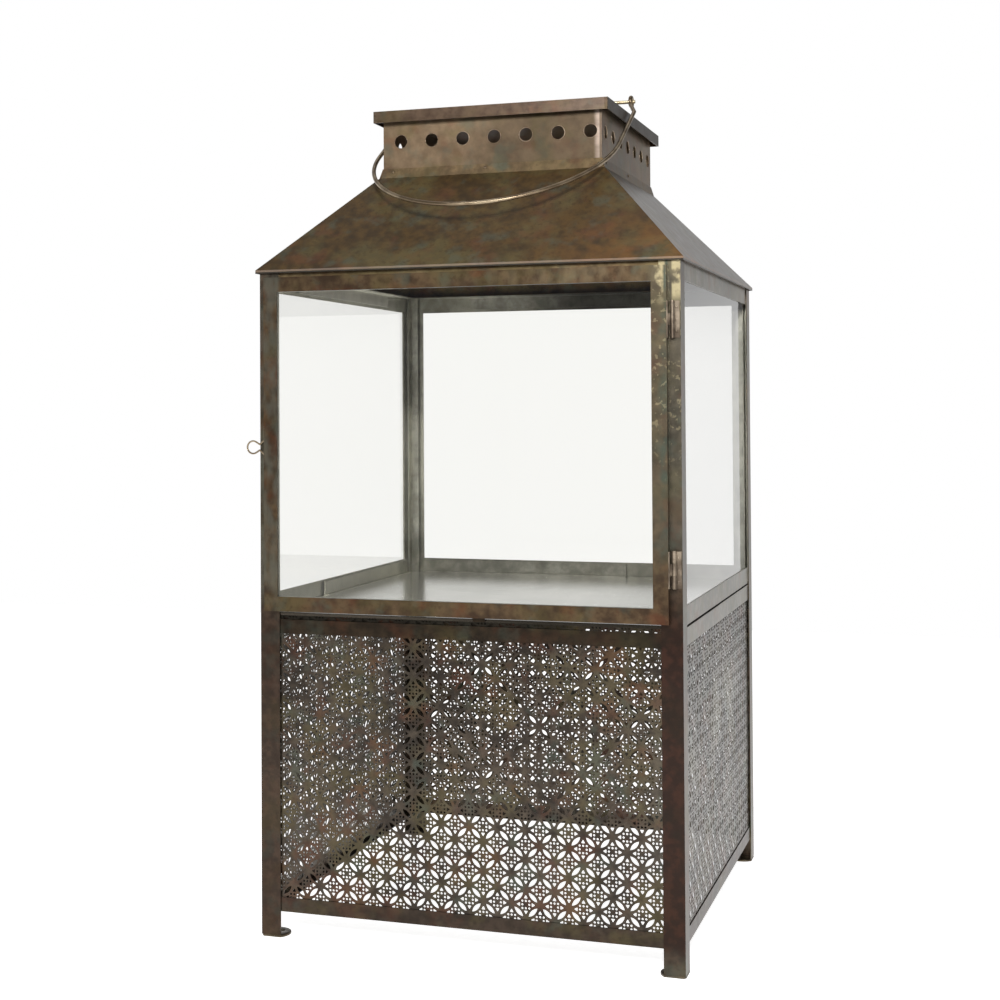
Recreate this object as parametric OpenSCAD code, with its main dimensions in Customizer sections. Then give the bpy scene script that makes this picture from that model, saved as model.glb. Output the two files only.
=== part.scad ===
// Floor-standing square candle lantern in folded sheet iron.
// An open perforated base carries a glazed chamber with a hinged front door, a hipped roof,
// a punched vent box with a flat cap, and a wire bail that swings over the top.
// Millimetres, Z up, front towards -Y. The origin is the centre between the feet, on the floor.

/* [Overall] */
// Width over the corner posts
lantern_w = 500; // [440:5:600]
// Depth over the corner posts
lantern_d = 500; // [440:5:600]
// Clear height under the bottom rails
floor_gap = 30; // [20:1:60]
// Open height of the perforated panels, between the rails
grille_h = 306.5; // [220:0.5:400]
// Open height of the windows
window_h = 357; // [260:1:460]

/* [Posts and feet] */
// Width of each flange of the corner angles
post_flange = 24; // [20:1:32]
// Thickness of the corner angles
post_wall = 1.6; // [1:0.1:3]
// Side of the square foot plates
foot_size = 32; // [28:1:45]
// Thickness of the foot plates
foot_t = 2.5; // [1.5:0.5:6]
// Radius of the foot plates' inner corner
foot_corner_r = 10; // [4:1:14]
// Diameter of the screw hole in each foot
foot_hole_d = 5.5; // [3:0.5:8]
// Distance from the post's outer faces to the centre of the screw hole
foot_hole_inset = 18; // [14:0.5:22]

/* [Rails] */
// Thickness of the folded rails
rail_wall = 1.2; // [0.8:0.1:2]
// Depth of the rails' turned-in flanges
rail_flange = 12; // [8:1:18]
// Height of the bottom rails
bottom_rail_h = 16.5; // [12:0.5:30]
// Height of the front rail under the door
front_rail_h = 16.5; // [12:0.5:19]
// Height from the underside of the middle rails to the top of the shelf
shelf_rise = 25; // [24:0.5:40]
// Gap between the middle rails and the sill rails, on the three glazed sides
rail_gap = 2.4; // [0.5:0.1:6]
// Height of the window sill rails above the shelf
sill_h = 19; // [12:0.5:30]
// Height of the head rails under the eaves
head_rail_h = 22; // [16:0.5:34]

/* [Shelf] */
// Thickness of the shelf plate
shelf_t = 1.2; // [0.8:0.1:2]
// Depth of the shelf's folded front edge
shelf_lip = 3.5; // [2:0.5:4]

/* [Perforated panels] */
// Thickness of the perforated sheet
grille_t = 0.6; // [0.5:0.1:1.5]
// Pitch of the petal lattice
grille_pitch = 16.5; // [15:0.5:30]
// Length of a petal opening
petal_len = 14.2; // [8:0.1:15]
// Width of a petal opening
petal_w = 4.8; // [3:0.1:6]
// Sideways shift of the lattice from the middle of the panel
grille_shift = 4.5; // [0:0.5:8]

/* [Glass] */
// Thickness of the panes
glass_t = 3; // [2:0.5:4]
// Clearance round the panes
pane_gap = 0.3; // [0.3:0.1:1]
// Length of the glass retaining strips
strip_len = 300; // [120:10:320]
// Height of the glass retaining strips
strip_h = 17; // [8:0.5:18]
// Foot width of the glass retaining strips
strip_foot = 6; // [4:0.5:12]
// Thickness of the retaining strips and corner angles
strip_t = 1; // [0.6:0.1:1.5]
// Gap between the lower strips' ends and the corner angles
strip_end_gap = 8.2; // [1:0.1:40]
// Leg width of the inner corner angles
corner_leg = 12; // [8:0.5:14]

/* [Door] */
// Face width of the door's stiles and rails
door_face_w = 17; // [14:0.5:24]
// Depth of the door frame
door_depth = 8.3; // [7:0.1:12]
// Thickness of the door frame's sheet
door_wall = 1.2; // [0.8:0.1:1.5]
// Distance from the left post's edge to the door
door_left_reveal = 8.5; // [4:0.5:12]
// Distance from the right post's edge to the door
door_right_reveal = 14; // [13.5:0.5:18]
// Distance from the post tops down to the door
door_top_reveal = 7.3; // [4:0.1:14]
// Height of the door's lower edge above the shelf
door_foot_reveal = 2; // [1:0.5:6]
// Gap between the door and the posts
door_gap = 0.5; // [0.3:0.1:1.5]
// Depth of the bead behind the door's glass
bead_depth = 3; // [2:0.1:3.2]
// Width of the door's rest tab
tab_w = 14; // [8:1:20]
// Drop of the door's rest tab under the door
tab_drop = 5; // [3:0.5:6]
// Distance of the rest tab to the right of the middle
tab_shift = 19; // [0:1:60]

/* [Hinges] */
// Height of a hinge
hinge_h = 40; // [24:1:60]
// Outer diameter of the hinge barrels
hinge_barrel_d = 5.4; // [5:0.1:7]
// Diameter of the hinge pins
hinge_pin_d = 2.6; // [1.6:0.1:3]
// Thickness of the hinge leaves
hinge_leaf_t = 1.2; // [0.8:0.1:1.6]
// Width of the leaf on the post
hinge_leaf_w = 7.5; // [6:0.5:8]
// Distance from the door's edge to the pin
hinge_set = 5.5; // [5:0.1:6]
// Distance from the door's corners to the middle of a hinge
hinge_inset = 58.8; // [35:0.1:110]
// Radial running clearance of the pins
pin_clearance = 0.05; // [0.02:0.01:0.1]
// Gap between neighbouring knuckles
knuckle_gap = 0.4; // [0.3:0.1:1]
// Thickness of the pins' heads
pin_head_t = 0.8; // [0.5:0.1:1.5]
// Difference in radius between the barrels and the pins' heads
pin_head_step = 0.5; // [0.2:0.1:1]

/* [Door pull] */
// Wire diameter of the pull
pull_wire_d = 2; // [1.5:0.1:3]
// Radius of the pull's round loop
pull_loop_r = 7.4; // [5:0.1:10]
// Distance from the door's edge to the middle of the loop
pull_reach = 15.5; // [14:0.5:22]
// Half width of the pull's neck
pull_neck = 3.4; // [2:0.1:4]
// Length of the wire along the door's edge, above and below
pull_tail = 16; // [8:1:30]
// Height of the pull below the middle of the door
pull_drop = 4; // [0:1:60]

/* [Roof] */
// Rise of the roof from the post tops to the vent box
roof_rise = 124; // [90:1:180]
// Thickness of the roof sheet
roof_t = 1.2; // [0.8:0.1:2]
// Overhang of the eaves past the posts
eave_overhang = 4; // [3:0.5:12]
// Drop of the eave's folded edge below the post tops
eave_drop = 1.8; // [0.5:0.1:6]
// Rise of the eave's folded edge above the post tops
eave_rise = 2; // [1.5:0.1:5]
// Width of the eave's turned-in seat
eave_seat = 14; // [10:1:24]

/* [Vent box] */
// Width of the vent box
vent_w = 274; // [220:2:300]
// Depth of the vent box
vent_d = 274; // [220:2:300]
// Thickness of the vent box's sheet
vent_t = 1; // [0.6:0.1:1.5]
// Depth of the vent box inside the roof's opening
vent_tuck = 8; // [4:1:14]
// Number of holes in each side
vent_holes = 7; // [3:1:7]
// Diameter of the vent holes
vent_hole_d = 16; // [8:0.5:20]
// Distance from the vent box's corners to the middle of the end holes
vent_hole_margin = 18.2; // [12:0.1:40]
// Sideways shift of the front and rear rows of holes
vent_hole_shift = 4.5; // [0:0.5:8]
// Height of the vent holes' centres above the roof
vent_hole_rise = 40; // [30:1:48]
// Height of the skirt on the vent box's wall
skirt_h = 7.5; // [3:0.5:10]
// Flare of the skirt at the roof
skirt_flare = 4; // [2.5:0.1:8]
// Thickness of the skirt at its top edge
skirt_t = 0.8; // [0.5:0.1:1.5]

/* [Cap] */
// Overhang of the cap past the vent box
cap_overhang = 9.5; // [6:0.5:16]
// Height of the cap's rim
cap_rim_h = 14; // [8:1:20]
// Height of the rim's lower edge above the roof
cap_lift = 63; // [60:1:90]
// Thickness of the cap's sheet
cap_t = 1.2; // [0.8:0.1:2]

/* [Bail] */
// Wire diameter of the bail
bail_wire_d = 5; // [3:0.5:6]
// Gap between the bail's legs and the cap's rim
bail_rim_gap = 3; // [2:0.5:8]
// Reach of the bow past the cap's front edge, along the bow
bail_reach = 136; // [130:0.5:150]
// Forward lean of the bow at rest, from hanging straight down
bail_lean = 58; // [57:1:80]
// Distance from the pin to the start of the straight leg
bail_joggle = 34; // [30:1:50]
// Radius of the eye's ring, to the middle of the wire
bail_eye_r = 5.4; // [5.4:0.1:7]
// Distance of the eyes inside the cap's edge
bail_eye_inset = 4.5; // [0:0.5:10]
// Diameter of the bail's pins
bail_pin_d = 4.4; // [3:0.1:4.6]
// Height of the pins above the cap
bail_axis_h = 20; // [14:1:30]
// Length of a pin, from its upright to the middle of the eye
bail_pin_len = 24; // [12:1:40]
// Length of the pin past the eye
bail_pin_end = 5; // [4:0.5:8]

/* [Hidden] */

dark_iron = "#5b4b38";
worn_iron = "#6b5a41";
roof_iron = "#5c4a2f";
inner_iron = "#77756a";
shelf_grey = "#b4b6b1";
wire_iron = "#6d6152";
glass_tint = [0.85, 0.9, 0.88, 0.3];

// The four sides, anticlockwise
SIDES = ["front", "right", "rear", "left"];
GLAZED = ["right", "rear", "left"];

cut = 1;                 // overshoot of a cutting shape past the face it cuts
round_fn = 48;           // facets of true round shapes in the preview
corner_proud = 0.06;     // how much a wire's corner stands out from the wire

// Heights
z_bottom_rail = floor_gap;
z_grille = z_bottom_rail + bottom_rail_h;
z_middle_rail = z_grille + grille_h;
z_front_rail_top = z_middle_rail + front_rail_h;
z_shelf = z_middle_rail + shelf_rise;
z_sill = z_shelf - shelf_t - rail_wall;
z_middle_top = z_sill - rail_gap;
z_window = z_shelf + sill_h;
z_head = z_window + window_h;
z_top = z_head + head_rail_h;
z_roof_foot = z_top + eave_rise;
z_roof_top = z_top + roof_rise;
z_cap = z_roof_top + cap_lift;
z_cap_top = z_cap + cap_rim_h;
z_bail = z_cap_top + bail_axis_h;

// Distances inwards from the posts' outer faces
rail_inner = post_wall + rail_wall;
pane_inner = rail_inner + glass_t;

// Door
door_x0 = -lantern_w / 2 + door_left_reveal;
door_x1 = lantern_w / 2 - door_right_reveal;
door_z0 = z_shelf + door_foot_reveal;
door_z1 = z_top - door_top_reveal;
door_back = -lantern_d / 2 - door_gap;
door_front = door_back - door_depth;
door_mid_z = (door_z0 + door_z1) / 2;

// Hinges
hinge_barrel_r = hinge_barrel_d / 2;
hinge_x = door_x1 + hinge_set;
hinge_y = -lantern_d / 2 - hinge_barrel_r - hinge_leaf_t / 2;
knuckle_h = hinge_h / 3;
hinge_heights = [door_z0 + hinge_inset, door_z1 - hinge_inset];

// Vent box and cap
cap_w = vent_w + 2 * cap_overhang;
cap_d = vent_d + 2 * cap_overhang;
roof_w = lantern_w + 2 * eave_overhang;
roof_d = lantern_d + 2 * eave_overhang;
roof_run = (roof_w - vent_w) / 2;
roof_slope = atan((z_roof_top - z_roof_foot) / roof_run);

// Bail: the bow is drawn flat, with its pivot at the origin and hanging towards -Y
bail_leg_x = cap_w / 2 + bail_rim_gap + bail_wire_d / 2;
bail_eye_x = cap_w / 2 - bail_eye_inset;
bail_drop = cap_d / 2 + bail_reach;

// Turn of a side from the front, whether it lies along X, and its length and distance
function side_turn(side) = [for (i = [0 : 3]) if (SIDES[i] == side) 90 * i][0];
function along_x(side) = side == "front" || side == "rear";
function side_length(side) = along_x(side) ? lantern_w : lantern_d;
function side_reach(side) = (along_x(side) ? lantern_d : lantern_w) / 2;

// Turns a side's own frame to its place: X runs along the side, Y inwards from the posts' faces
module on_side(side) {
    rotate([0, 0, side_turn(side)]) translate([0, -side_reach(side), 0]) children();
}

// A bar along a side with 45 degree ends, from one distance inwards to another
module mitred_bar(side, near, far, z0, z1) {
    half = side_length(side) / 2;
    translate([0, 0, z0])
        linear_extrude(z1 - z0)
            polygon([[near - half, near], [half - near, near], [half - far, far], [far - half, far]]);
}

// An angle rail behind the posts' flanges, its flange turned in at the top or at the bottom
module rail(side, z0, z1, flange_on_top) {
    flange_z = flange_on_top ? z1 - rail_wall : z0;
    color(dark_iron)
        on_side(side) {
            mitred_bar(side, post_wall, rail_inner, z0, z1);
            mitred_bar(side, post_wall, rail_inner + rail_flange, flange_z, flange_z + rail_wall);
        }
}

module bottom_rail(side) rail(side, z_bottom_rail, z_grille, false);
module middle_rail(side) rail(side, z_middle_rail, z_middle_top, true);
module sill_rail(side) rail(side, z_sill, z_window, false);
module head_rail(side) rail(side, z_head, z_top, true);

// The rail under the door is a flat strip, so that the panel behind it can reach the shelf
module front_strip() {
    color(dark_iron)
        on_side("front") mitred_bar("front", post_wall, rail_inner, z_middle_rail, z_front_rail_top);
}

// A corner angle; side_x and side_y are -1 or 1
module post(side_x, side_y) {
    color(worn_iron)
        translate([side_x * lantern_w / 2, side_y * lantern_d / 2, foot_t])
            mirror([side_x > 0 ? 1 : 0, 0, 0]) mirror([0, side_y > 0 ? 1 : 0, 0])
                linear_extrude(z_top - foot_t)
                    difference() {
                        square(post_flange);
                        translate([post_wall, post_wall]) square(post_flange);
                    }
}

// Four plates under the posts, each with a round inner corner and a screw hole
module foot_plates() {
    plain = foot_size - foot_corner_r;
    color(dark_iron)
        for (side_x = [-1, 1], side_y = [-1, 1])
            translate([side_x * lantern_w / 2, side_y * lantern_d / 2, 0])
                mirror([side_x > 0 ? 1 : 0, 0, 0]) mirror([0, side_y > 0 ? 1 : 0, 0])
                    difference() {
                        linear_extrude(foot_t) {
                            square([foot_size, plain]);
                            square([plain, foot_size]);
                            translate([plain, plain]) circle(r = foot_corner_r, $fn = round_fn);
                        }
                        translate([foot_hole_inset, foot_hole_inset, -cut])
                            cylinder(d = foot_hole_d, h = foot_t + 2 * cut, $fn = round_fn);
                    }
}

// A petal: the lens where two circles overlap, standing upright
module petal() {
    arc_r = (pow(petal_len, 2) + pow(petal_w, 2)) / (4 * petal_w);
    offset_x = arc_r - petal_w / 2;
    intersection() {
        translate([-offset_x, 0]) circle(r = arc_r, $fn = 64);
        translate([offset_x, 0]) circle(r = arc_r, $fn = 64);
    }
}

// A perforated sheet behind the rails. Petals stand on a square lattice, turned so that each
// one points at the plain crossings, which alternate with the clusters of fine dots.
module grille(side) {
    half = side_length(side) / 2 - rail_inner - grille_t - pane_gap;
    z0 = z_bottom_rail + rail_wall;
    z1 = side == "front" ? z_shelf - shelf_t : z_middle_top - rail_wall;
    // petals are cut as far as they show between the posts and under the middle rail
    edge = petal_len / 3;
    reach = side_length(side) / 2 - post_flange + edge;
    first = ceil(-(reach + grille_shift) / grille_pitch - 0.5);
    last = floor((reach - grille_shift) / grille_pitch - 0.5);
    open_h = side == "front" ? z_shelf - z_grille : grille_h;
    top = floor((open_h + edge) / grille_pitch - 0.5);
    color(dark_iron)
        on_side(side)
            translate([0, rail_inner + grille_t, 0])
                rotate([90, 0, 0])
                    linear_extrude(grille_t)
                        difference() {
                            translate([-half, z0]) square([2 * half, z1 - z0]);
                            for (column = [first : last], row = [0 : top])
                                translate([
                                    grille_shift + (column + 0.5) * grille_pitch,
                                    z_grille + (row + 0.5) * grille_pitch
                                ])
                                    rotate((column + row) % 2 == 0 ? -45 : 45) petal();
                        }
}

// The plate between base and chamber, resting on the sill rails, with a folded front edge
module shelf() {
    half_w = lantern_w / 2 - rail_inner - pane_gap;
    front = -lantern_d / 2 + post_wall;
    rear = lantern_d / 2 - rail_inner - pane_gap;
    color(shelf_grey) {
        translate([-half_w, front, z_shelf - shelf_t]) cube([2 * half_w, rear - front, shelf_t]);
        translate([-half_w + rail_flange, front, z_shelf - shelf_lip])
            cube([2 * (half_w - rail_flange), shelf_t, shelf_lip]);
    }
}

// A window pane standing on the shelf, between the rails and the retaining strips
module pane(side) {
    half = side_length(side) / 2 - pane_inner - pane_gap;
    color(glass_tint)
        on_side(side)
            translate([-half, rail_inner, z_shelf])
                cube([2 * half, glass_t, z_top - rail_wall - pane_gap - z_shelf]);
}

// One retaining strip: an upright leaf against the glass and a foot against a rail
module glass_strip(z_leaf, z_foot) {
    translate([-strip_len / 2, pane_inner, z_leaf]) cube([strip_len, strip_t, strip_h]);
    translate([-strip_len / 2, pane_inner, z_foot]) cube([strip_len, strip_foot, strip_t]);
}

// The lower strips start near the rear corners and stop short of the front
module lower_glass_strips() {
    color(inner_iron)
        for (side = GLAZED) {
            shift = side_length(side) / 2 - pane_inner - corner_leg - strip_end_gap - strip_len / 2;
            on_side(side)
                translate([side == "left" ? -shift : shift, 0, 0]) glass_strip(z_shelf, z_shelf);
        }
}

module upper_glass_strips() {
    seat = z_top - rail_wall;
    color(inner_iron)
        for (side = GLAZED)
            on_side(side) glass_strip(seat - strip_h, seat - strip_t);
}

// Light angles that hold the panes' upright edges in the four corners
module glass_corner_angles() {
    x = lantern_w / 2 - pane_inner;
    color(inner_iron)
        for (side_x = [-1, 1], side_y = [-1, 1]) {
            y = lantern_d / 2 - (side_y < 0 ? rail_inner : pane_inner);
            translate([side_x * x, side_y * y, z_shelf])
                mirror([side_x > 0 ? 1 : 0, 0, 0]) mirror([0, side_y > 0 ? 1 : 0, 0])
                    linear_extrude(z_top - rail_wall - z_shelf)
                        difference() {
                            square(corner_leg);
                            translate([strip_t, strip_t]) square(corner_leg);
                        }
        }
}

// The solid hipped form, from the eaves up to the vent box
module roof_form() {
    translate([0, 0, z_roof_foot])
        linear_extrude(z_roof_top - z_roof_foot, scale = [vent_w / roof_w, vent_d / roof_d])
            square([roof_w, roof_d], center = true);
}

// A square ring lying flat
module square_ring(w, d, wall, z0, h) {
    translate([0, 0, z0])
        linear_extrude(h)
            difference() {
                square([w, d], center = true);
                square([w - 2 * wall, d - 2 * wall], center = true);
            }
}

// The block that the vent box fills, from one height to another
module vent_block(z0, z1) {
    translate([-vent_w / 2, -vent_d / 2, z0]) cube([vent_w, vent_d, z1 - z0]);
}

// Sloping sheet with a folded edge, and a seat turned in on the posts and head rails
module roof() {
    color(roof_iron) {
        difference() {
            roof_form();
            translate([0, 0, -roof_t / cos(roof_slope)]) roof_form();
            vent_block(z_roof_foot - cut, z_roof_top + cut);
        }
        square_ring(roof_w, roof_d, roof_t, z_top - eave_drop, eave_drop + eave_rise);
        square_ring(roof_w, roof_d, eave_seat, z_top, roof_t);
    }
}

// A wall of the vent box, mitred at its ends, with a row of punched holes
module vent_wall(side) {
    half = (along_x(side) ? vent_w : vent_d) / 2;
    reach = (along_x(side) ? vent_d : vent_w) / 2;
    z0 = z_roof_top - vent_tuck;
    color(worn_iron)
        rotate([0, 0, side_turn(side)])
            translate([0, -reach, 0])
                difference() {
                    translate([0, 0, z0])
                        linear_extrude(z_cap_top - cap_t - z0)
                            polygon([
                                [-half, 0], [half, 0], [half - vent_t, vent_t], [vent_t - half, vent_t]
                            ]);
                    for (i = [0 : vent_holes - 1])
                        translate([
                            (along_x(side) ? vent_hole_shift : 0)
                                + (2 * i / (vent_holes - 1) - 1) * (half - vent_hole_margin),
                            -cut,
                            z_roof_top + vent_hole_rise
                        ])
                            rotate([-90, 0, 0])
                                cylinder(d = vent_hole_d, h = vent_t + 2 * cut, $fn = round_fn);
                }
}

// The flared flange that joins the vent box to the roof
module vent_skirt() {
    skirt_drop = skirt_flare * tan(roof_slope);
    foot_w = vent_w + 2 * skirt_flare;
    foot_d = vent_d + 2 * skirt_flare;
    color(worn_iron)
        difference() {
            translate([0, 0, z_roof_top - skirt_drop])
                linear_extrude(
                    skirt_drop + skirt_h,
                    scale = [(vent_w + 2 * skirt_t) / foot_w, (vent_d + 2 * skirt_t) / foot_d]
                )
                    square([foot_w, foot_d], center = true);
            roof_form();
            vent_block(z_roof_top - 2 * skirt_drop, z_roof_top + 2 * skirt_h);
        }
}

// A flat lid with a folded rim all round, seated on the vent box's walls
module vent_cap() {
    color(roof_iron)
        difference() {
            translate([-cap_w / 2, -cap_d / 2, z_cap]) cube([cap_w, cap_d, cap_rim_h]);
            translate([-cap_w / 2 + cap_t, -cap_d / 2 + cap_t, z_cap - cut])
                cube([cap_w - 2 * cap_t, cap_d - 2 * cap_t, cap_rim_h - cap_t + cut]);
        }
}

// A round bar between two points in the XY plane
module bar(from, to, d) {
    way = to - from;
    translate([from[0], from[1], 0])
        rotate([0, 0, atan2(way[1], way[0])])
            rotate([0, 90, 0]) cylinder(d = d, h = norm(way), $fn = round_fn);
}

// The rounded corner where two lengths of wire meet, a hair prouder than the wire
module wire_corner(at, d) {
    translate([at[0], at[1], 0]) sphere(d = d + corner_proud, $fn = round_fn);
}

// A bent bar: part of a ring in the XY plane, from one angle through a turn
module bend(ring_r, d, start, turn) {
    rotate([0, 0, start])
        rotate_extrude(angle = turn, $fn = 96)
            translate([ring_r, 0]) circle(d = d, $fn = round_fn);
}

// Two bent pins on the cap; the bail's eyes turn on their level ends
module bail_pins() {
    upright_x = bail_eye_x - bail_pin_len;
    color("#b59a62")
        for (side_x = [-1, 1])
            mirror([side_x < 0 ? 1 : 0, 0, 0]) {
                translate([upright_x, 0, z_cap_top])
                    cylinder(d = bail_pin_d, h = bail_axis_h, $fn = round_fn);
                translate([0, 0, z_bail]) {
                    wire_corner([upright_x, 0], bail_pin_d);
                    bar([upright_x, 0], [bail_eye_x + bail_pin_end, 0], bail_pin_d);
                }
            }
}

// The wire bow: an eye, a joggled leg and half of the round crown on each side
module bail() {
    leg_root = [bail_eye_x, -bail_eye_r - bail_wire_d / 5];
    leg_top = [bail_leg_x, -bail_joggle];
    leg_foot = [bail_leg_x, bail_leg_x - bail_drop];
    color(wire_iron)
        translate([0, 0, z_bail])
            rotate([90 - bail_lean, 0, 0]) {
                for (side_x = [-1, 1])
                    mirror([side_x < 0 ? 1 : 0, 0, 0]) {
                        translate([bail_eye_x, 0, 0])
                            rotate([0, 90, 0])
                                rotate_extrude($fn = 96)
                                    translate([bail_eye_r, 0])
                                        circle(d = bail_wire_d, $fn = round_fn);
                        bar(leg_root, leg_top, bail_wire_d);
                        wire_corner(leg_top, bail_wire_d);
                        bar(leg_top, leg_foot, bail_wire_d);
                        wire_corner(leg_foot, bail_wire_d);
                    }
                translate([0, leg_foot[1], 0]) bend(bail_leg_x, bail_wire_d, 180, 180);
            }
}

// Knuckles at one hinge, as [height of the lower end, length]
function knuckle(z, index) = z + (index - 1.5) * knuckle_h + knuckle_gap / 2;

module knuckle_barrel(z, index) {
    translate([hinge_x, hinge_y, knuckle(z, index)])
        cylinder(r = hinge_barrel_r, h = knuckle_h - knuckle_gap, $fn = round_fn);
}

module pin_bore(z) {
    translate([hinge_x, hinge_y, z - hinge_h / 2 - cut])
        cylinder(r = hinge_pin_d / 2 + pin_clearance, h = hinge_h + 2 * cut, $fn = round_fn);
}

// The leaves on the right post, with the two outer knuckles of each hinge
module hinge_post_leaves() {
    face = -lantern_d / 2;
    relief = hinge_barrel_r + knuckle_gap;
    color(wire_iron)
        for (z = hinge_heights)
            difference() {
                union() {
                    knuckle_barrel(z, 0);
                    knuckle_barrel(z, 2);
                    translate([hinge_x, face - hinge_leaf_t, z - hinge_h / 2])
                        cube([hinge_leaf_w, hinge_leaf_t, hinge_h]);
                }
                pin_bore(z);
                translate([hinge_x, hinge_y, knuckle(z, 1) - knuckle_gap])
                    cylinder(r = relief, h = knuckle_h + knuckle_gap, $fn = round_fn);
            }
}

// The leaves on the door's edge, with the middle knuckle of each hinge
module hinge_door_leaves() {
    side_y0 = door_front + hinge_leaf_t / 2;
    color(wire_iron)
        for (z = hinge_heights)
            difference() {
                union() {
                    knuckle_barrel(z, 1);
                    translate([door_x1, hinge_y - hinge_leaf_t / 2, knuckle(z, 1)])
                        cube([hinge_set, hinge_leaf_t, knuckle_h - knuckle_gap]);
                    translate([door_x1, side_y0, z - hinge_h / 2])
                        cube([hinge_leaf_t, door_back - side_y0 - hinge_leaf_t / 2, hinge_h]);
                }
                pin_bore(z);
            }
}

// A pin through each hinge, with a flat head at both ends
module hinge_pins() {
    color(inner_iron)
        for (z = hinge_heights) {
            top = z + hinge_h / 2 - knuckle_gap / 2;
            bottom = z - hinge_h / 2 + knuckle_gap / 2;
            translate([hinge_x, hinge_y, bottom])
                cylinder(d = hinge_pin_d, h = top - bottom, $fn = round_fn);
            for (end_z = [bottom - pin_head_t, top])
                translate([hinge_x, hinge_y, end_z])
                    cylinder(r = hinge_barrel_r - pin_head_step, h = pin_head_t, $fn = round_fn);
        }
}

// A block in the door's plane, drawn in from the door's outline on all four sides
module door_block(inset, y0, y1) {
    translate([door_x0 + inset, y0, door_z0 + inset])
        cube([door_x1 - door_x0 - 2 * inset, y1 - y0, door_z1 - door_z0 - 2 * inset]);
}

// Mitred sheet frame: a flat face with its outer edge folded back
module door_frame() {
    color(worn_iron)
        difference() {
            door_block(0, door_front, door_back);
            door_block(door_face_w, door_front - cut, door_back + cut);
            door_block(door_wall, door_front + door_wall, door_back + cut);
        }
}

// The door's pane, behind the frame's face
module door_pane() {
    y0 = door_front + door_wall;
    color(glass_tint) door_block(door_wall + pane_gap, y0, y0 + glass_t);
}

// The folded bead that holds the door's pane from behind
module door_bead() {
    y0 = door_front + door_wall + glass_t;
    inner = door_face_w - door_wall;
    color(inner_iron)
        difference() {
            door_block(door_wall, y0, y0 + bead_depth);
            door_block(door_face_w, y0 - cut, y0 + bead_depth + cut);
            difference() {
                door_block(door_wall - cut, y0 + strip_t, y0 + bead_depth + cut);
                door_block(inner, y0, y0 + bead_depth + 2 * cut);
            }
        }
}

// A wire that follows a list of points
module wire_path(points, d) {
    for (i = [1 : len(points) - 1])
        hull()
            for (point = [points[i - 1], points[i]])
                translate([point[0], point[1], 0]) sphere(d = d, $fn = 12);
}

// An omega of soft wire soldered along the door's free edge, its loop standing past the post
module door_pull() {
    r = pull_wire_d / 2;
    opening = 50;
    step = 20;
    neck_x = pull_loop_r + r - pull_reach;
    foot_y = pull_loop_r + r;
    loop = [
        for (turn = [opening : step : 360 - opening])
            [pull_loop_r * cos(turn) - pull_reach, pull_loop_r * sin(turn)]
    ];
    color(wire_iron)
        translate([door_x0, (door_front + door_back) / 2, door_mid_z - pull_drop])
            rotate([90, 0, 0])
                wire_path(
                    concat(
                        [[-r, foot_y + pull_tail], [-r, foot_y], [neck_x, pull_neck]],
                        loop,
                        [[neck_x, -pull_neck], [-r, -foot_y], [-r, -foot_y - pull_tail]]
                    ),
                    pull_wire_d
                );
}

// A small bent tab under the door, which keeps its lower edge off the shelf
module door_tab() {
    color(inner_iron)
        translate([tab_shift - tab_w / 2, door_back, door_z0]) {
            translate([0, -door_depth / 2, -strip_t]) cube([tab_w, door_depth / 2, strip_t]);
            translate([0, -strip_t, -tab_drop]) cube([tab_w, strip_t, tab_drop]);
        }
}

post(-1, -1);  // post_front_left
post(1, -1);  // post_front_right
post(-1, 1);  // post_rear_left
post(1, 1);  // post_rear_right
foot_plates();
bottom_rail("front");  // bottom_rail_front
bottom_rail("right");  // bottom_rail_right
bottom_rail("rear");  // bottom_rail_rear
bottom_rail("left");  // bottom_rail_left
grille("front");  // grille_front
grille("right");  // grille_right
grille("rear");  // grille_rear
grille("left");  // grille_left
front_strip();  // middle_rail_front
middle_rail("right");  // middle_rail_right
middle_rail("rear");  // middle_rail_rear
middle_rail("left");  // middle_rail_left
shelf();
sill_rail("right");  // sill_rail_right
sill_rail("rear");  // sill_rail_rear
sill_rail("left");  // sill_rail_left
head_rail("front");  // head_rail_front
head_rail("right");  // head_rail_right
head_rail("rear");  // head_rail_rear
head_rail("left");  // head_rail_left
pane("right");  // pane_right
pane("rear");  // pane_rear
pane("left");  // pane_left
lower_glass_strips();
upper_glass_strips();
glass_corner_angles();
roof();
vent_wall("front");  // vent_wall_front
vent_wall("right");  // vent_wall_right
vent_wall("rear");  // vent_wall_rear
vent_wall("left");  // vent_wall_left
vent_skirt();
vent_cap();
bail_pins();
bail();
hinge_post_leaves();
hinge_pins();
hinge_door_leaves();
door_frame();
door_pane();
door_bead();
door_pull();
door_tab();
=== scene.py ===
# %% [markdown]
# # A floor lantern of folded sheet iron
# The lantern has an open base with perforated panels, a glazed chamber with a hinged door, a
# hipped roof, a punched vent box and a wire bail. Its frame comes from the CAD model, which is
# loaded here and never changed. This file adds what CAD leaves out: the fine pattern of the
# panels, small fasteners, seams, and the brown patina that colours the whole lantern.

# %% Load the CAD frame
import math

import bpy
from mathutils import Matrix, Vector


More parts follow.
